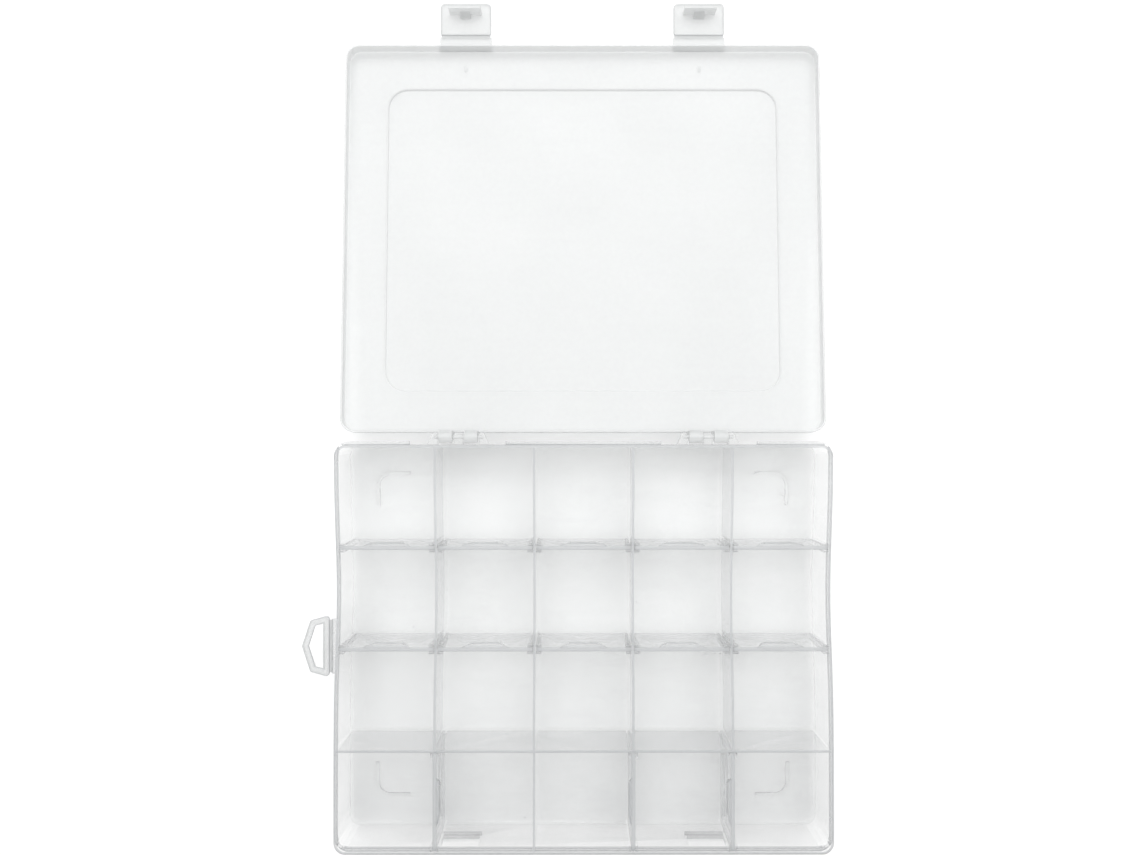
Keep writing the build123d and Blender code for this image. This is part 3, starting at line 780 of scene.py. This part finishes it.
class SORTINGTRAY_OT_dividers(bpy.types.Operator):
    """Builds the thirteen removable dividers, each in the place of its CAD node"""
    bl_idname = "sorting_tray.dividers"
    bl_label = "Dividers"

    def execute(self, context):
        scene = context.scene
        size = scene.sorting_tray_divider
        look = scene.sorting_tray_look
        plastic = milky_plastic("divider_plastic", look, look.plastic, look.haze, standing=True)
        for name in sorted(n for n in frame["nodes"] if n.startswith("divider_")):
            low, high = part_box(name)
            span = max(high.x - low.x, high.y - low.y)
            place = self.place(low, high, size)
            shells = [moved(shell, place) for shell in self.shells(size, span, high.z - low.z)]
            shells = [(bowed(points, scene.sorting_tray_warp), faces, edge) for points, faces, edge in shells]
            piece = make_piece(f"{name}_plate", shells, plastic)
            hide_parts(name)
            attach(piece, name)
        return {"FINISHED"}

    def place(self, low, high, size):
        """Stands a divider at its node's foot, its grip pad on the side where the node's stands out."""
        middle = (low + high) / 2
        if high.x - low.x > high.y - low.y:
            return Matrix.Translation((middle.x, low.y + size.top / 2, low.z))
        if low.x < 0:
            face, quarter = low.x + size.top / 2, -math.pi / 2
        else:
            face, quarter = high.x - size.top / 2, math.pi / 2
        return Matrix.Translation((face, middle.y, low.z)) @ Matrix.Rotation(quarter, 4, "Z")

    def shells(self, size, span, tall):
        """A plate in the x, z plane whose thickness grows evenly from foot to top, and its grip pad: a
        trapezoid that draws in as it stands out, cut level with the top. Both are drawn in x and y, and
        then stood up."""
        half, cut = span / 2, size.corner
        sheet = [(half, cut), (half, tall), (-half, tall), (-half, cut), (-half + cut, 0), (half - cut, 0)]
        soft = 0.3 * MM
        depths, heights, edge = round_over(-size.top / 2, size.top / 2, 0.25 * MM,
                                           (17 * MM, 11 * MM, 5 * MM, 0.8 * MM))
        sheet = stack(outline(*inset(np.array(sheet), soft, depths), 4, 12), heights, edge)
        sheet[2][:] *= np.where(sheet[0][:, 1] > tall - 1 * MM, 1, 0.2)
        sheet[0][:, 2] *= (size.bottom + (size.top - size.bottom) * sheet[0][:, 1] / tall) / size.top
        spare = size.grip_slant
        slope = (size.grip_top - size.grip_bottom) / 2 / size.grip_height
        foot = tall - size.grip_height
        wide, narrow = size.grip_top / 2 + spare * slope, size.grip_bottom / 2
        pad = np.array([(wide, tall + spare), (-wide, tall + spare), (-narrow, foot), (narrow, foot)])
        face, proud = size.top / 2, size.grip_proud
        depths = np.array([0, 0, 0.15, 0.75, 0.95, 1.2, 2.2]) * spare
        heights = face + np.array([-0.45, -0.15, 0.05, 0.85, 0.97, 1.0, 1.0]) * proud
        edge = np.array([0, 0, 0.8, 0.8, 0.8, 0.2, 0])
        grip = stack(outline(*inset(pad, soft, depths), 4, 8), heights, edge)
        grip[0][:, 1] = np.minimum(grip[0][:, 1], tall)
        upright = np.array(((-1, 0, 0), (0, 0, 1), (0, 1, 0)))
        return [(points @ upright, faces, edge) for points, faces, edge in (sheet, grip)]


class SORTINGTRAY_OT_stage(bpy.types.Operator):
    """Lays the studio floor and sets the lights and the camera"""
    bl_idname = "sorting_tray.stage"
    bl_label = "Studio"

    def execute(self, context):
        scene = context.scene
        look = scene.sorting_tray_look
        reach, gap = 3.0, 0.02 * MM
        level = CAD_BOX[0][2] - gap
        mesh = bpy.data.meshes.new("studio_floor")
        mesh.from_pydata([(*corner, level) for corner in rectangle(reach, reach).tolist()], [], [(0, 1, 2, 3)])
        material = bpy.data.materials.new("floor_paper")
        material.use_nodes = True
        shader = material.node_tree.nodes["Principled BSDF"]
        shader.inputs["Base Color"].default_value = (*look.floor, 1)
        shader.inputs["Roughness"].default_value = 0.85
        shader.inputs["Specular IOR Level"].default_value = 0.1
        mesh.materials.append(material)
        floor = bpy.data.objects.new("studio_floor", mesh)
        scene.collection.objects.link(floor)

        world = bpy.data.worlds.new("studio_air")
        world.use_nodes = True
        air = world.node_tree.nodes["Background"]
        air.inputs["Color"].default_value = (1, 1, 1, 1)
        air.inputs["Strength"].default_value = 0.62
        scene.world = world
        self.lamp(scene, "rear_panel", place=(0, 0.45, 0.8), size=1.2, power=9.9)

        camera = bpy.data.cameras.new("camera")
        camera.sensor_width = 36
        camera.lens = 31.925
        camera.clip_start = 0.01
        view = bpy.data.objects.new("camera", camera)
        scene.collection.objects.link(view)
        stand = Matrix.Translation((-6.87 * MM, 102.99 * MM, 515.98 * MM))
        roll, sway, nod = -0.0003, -0.0009, 0.0041
        view.matrix_world = (stand @ Matrix.Rotation(roll, 4, "Z") @ Matrix.Rotation(sway, 4, "Y")
                             @ Matrix.Rotation(nod, 4, "X"))
        scene.camera = view
        scene.view_settings.view_transform = "Standard"
        scene.cycles.transparent_max_bounces = 48
        scene.cycles.max_bounces = 16
        return {"FINISHED"}

    def lamp(self, scene, name, place, size, power):
        """A square soft light that looks at the middle of the open tray and its lid."""
        target = Vector((0, 0.1, 0))
        light = bpy.data.lights.new(name, "AREA")
        light.size, light.energy = size, power
        lamp = bpy.data.objects.new(name, light)
        aim = (target - Vector(place)).to_track_quat("-Z", "Y")
        lamp.matrix_world = Matrix.Translation(place) @ aim.to_matrix().to_4x4()
        scene.collection.objects.link(lamp)


STEPS = (SORTINGTRAY_OT_stage, SORTINGTRAY_OT_tray, SORTINGTRAY_OT_lid, SORTINGTRAY_OT_latches,
         SORTINGTRAY_OT_hang_loop, SORTINGTRAY_OT_dividers)
GROUPS = {
    "sorting_tray_lid": SortingTrayLid,
    "sorting_tray_latch": SortingTrayLatch,
    "sorting_tray_loop": SortingTrayLoop,
    "sorting_tray_divider": SortingTrayDivider,
    "sorting_tray_warp": SortingTrayWarp,
    "sorting_tray_look": SortingTrayLook,
}


class SORTINGTRAY_PT_panel(bpy.types.Panel):
    """Lists the pieces of the sorting tray, with their sizes and colours"""
    bl_idname = "SORTINGTRAY_PT_panel"
    bl_label = "Sorting Tray"
    bl_space_type = "VIEW_3D"
    bl_region_type = "UI"
    bl_category = "Sorting Tray"

    def draw(self, context):
        for step in STEPS:
            self.layout.operator(step.bl_idname, text=step.bl_label)
        for name, group in GROUPS.items():
            box = self.layout.box()
            box.label(text=group.__doc__)
            for size in group.__annotations__:
                box.prop(getattr(context.scene, name), size)


CLASSES = (*GROUPS.values(), *STEPS, SORTINGTRAY_PT_panel)


def register():
    """Registers the classes and hangs the size and colour groups on the scene."""
    for cls in CLASSES:
        bpy.utils.register_class(cls)
    for name, group in GROUPS.items():
        setattr(bpy.types.Scene, name, PointerProperty(type=group))


def unregister():
    """Takes back what register does, last first."""
    for name in GROUPS:
        delattr(bpy.types.Scene, name)
    for cls in reversed(CLASSES):
        bpy.utils.unregister_class(cls)


def main():
    """Registers the classes, then builds the stage and the pieces in order."""
    register()
    for step in STEPS:
        getattr(bpy.ops.sorting_tray, step.bl_idname.split(".")[1])()


if __name__ == "__main__":
    main()
